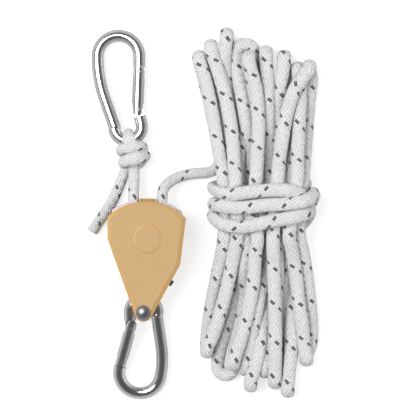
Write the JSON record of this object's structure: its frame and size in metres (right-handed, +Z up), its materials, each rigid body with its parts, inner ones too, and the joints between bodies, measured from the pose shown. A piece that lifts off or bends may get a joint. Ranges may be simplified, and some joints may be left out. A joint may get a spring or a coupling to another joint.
{
  "type": "rope ratchet hanger",
  "caption": "Two-shell pulley block with a ratcheting rope sheave, release pawl, a snap hook on a rivet, a second snap hook tied to the rope, and the free rope folded in a tied hank.",
  "frame": {"origin": "on the flat outer face of the rear cover, under the sheave's axle, where the part lies on its surface", "axes": "+Z up from the surface through both covers, +Y from the block to the upper snap hook, +X towards the side where the free rope leaves"},
  "size_m": [0.1326, 0.2162, 0.0286],
  "materials": {
    "tan_shell": "moulded, slightly glossy",
    "tan_inner": "moulded, darker",
    "frame_steel": "stamped and zinc plated",
    "zinc_wire": "zinc plated",
    "chrome_wire": "bright nickel plated wire",
    "polished_steel": "polished",
    "hardened_steel": "blackened",
    "black_nylon": "moulded nylon",
    "white_rope": "braided polypropylene with grey tracers"
  },
  "bodies": {
    "root": {"front_cover": "tan_shell", "rear_cover": "tan_shell", "front_plate": "frame_steel", "rear_plate": "frame_steel", "rope_divider": "tan_inner", "frame_posts": "zinc_wire", "sheave_axle": "zinc_wire", "axle_washers": "zinc_wire", "pawl_pin": "zinc_wire", "pawl_spring": "zinc_wire", "bottom_rivet": "polished_steel", "rivet_sleeve": "frame_steel", "rope_over_sheave": "white_rope", "rope_lead": "white_rope", "rope_knot": "white_rope", "rope_bight": "white_rope", "rope_tail": "white_rope", "rope_run": "white_rope", "rope_hank": "white_rope", "rope_wraps": "white_rope"},
    "sheave": {"sheave": "black_nylon", "ratchet_ring": "hardened_steel"},
    "pawl": {"pawl": "frame_steel"},
    "upper_hook": {"upper_hook": "chrome_wire"},
    "upper_gate": {"upper_gate": "chrome_wire", "upper_gate_pin": "polished_steel", "upper_latch_pin": "polished_steel", "upper_gate_spring": "frame_steel"},
    "lower_hook": {"lower_hook": "chrome_wire"},
    "lower_gate": {"lower_gate": "chrome_wire", "lower_gate_pin": "polished_steel", "lower_latch_pin": "polished_steel", "lower_gate_spring": "frame_steel"}
  },
  "joints": [
    {"name": "sheave_spin", "type": "hinge", "parent": "root", "child": "sheave", "pos_m": [0, 0, 0.0122], "axis": [0, 0, 1], "continuous": true},
    {"name": "pawl_release", "type": "hinge", "parent": "root", "child": "pawl", "pos_m": [0.008, -0.0215, 0.0095], "axis": [0, 0, -1], "range_deg": [0, 13], "stiffness_Nm_per_rad": 0.05, "springref_deg": -17.19, "deforming": ["pawl_spring"]},
    {"name": "upper_hook_swing", "type": "hinge", "parent": "root", "child": "upper_hook", "pos_m": [-0.0115, 0.0648, 0.00889], "axis": [-0.0135, 0.0989, 0.995], "range_deg": [-35, 35]},
    {"name": "upper_gate_open", "type": "hinge", "parent": "upper_hook", "child": "upper_gate", "pos_m": [-0.00591, 0.07481, 0.00797], "axis": [-0.0135, 0.0989, 0.995], "range_deg": [0, 25], "stiffness_Nm_per_rad": 0.05, "springref_deg": -17.19},
    {"name": "lower_hook_swing", "type": "hinge", "parent": "root", "child": "lower_hook", "pos_m": [-0.0023, -0.0426, 0.0122], "axis": [0, 0, 1], "range_deg": [-30, 30]},
    {"name": "lower_gate_open", "type": "hinge", "parent": "lower_hook", "child": "lower_gate", "pos_m": [-0.00977, -0.05119, 0.01054], "axis": [-0.0116, -0.1797, 0.9836], "range_deg": [0, 25], "stiffness_Nm_per_rad": 0.05, "springref_deg": -17.19}
  ]
}
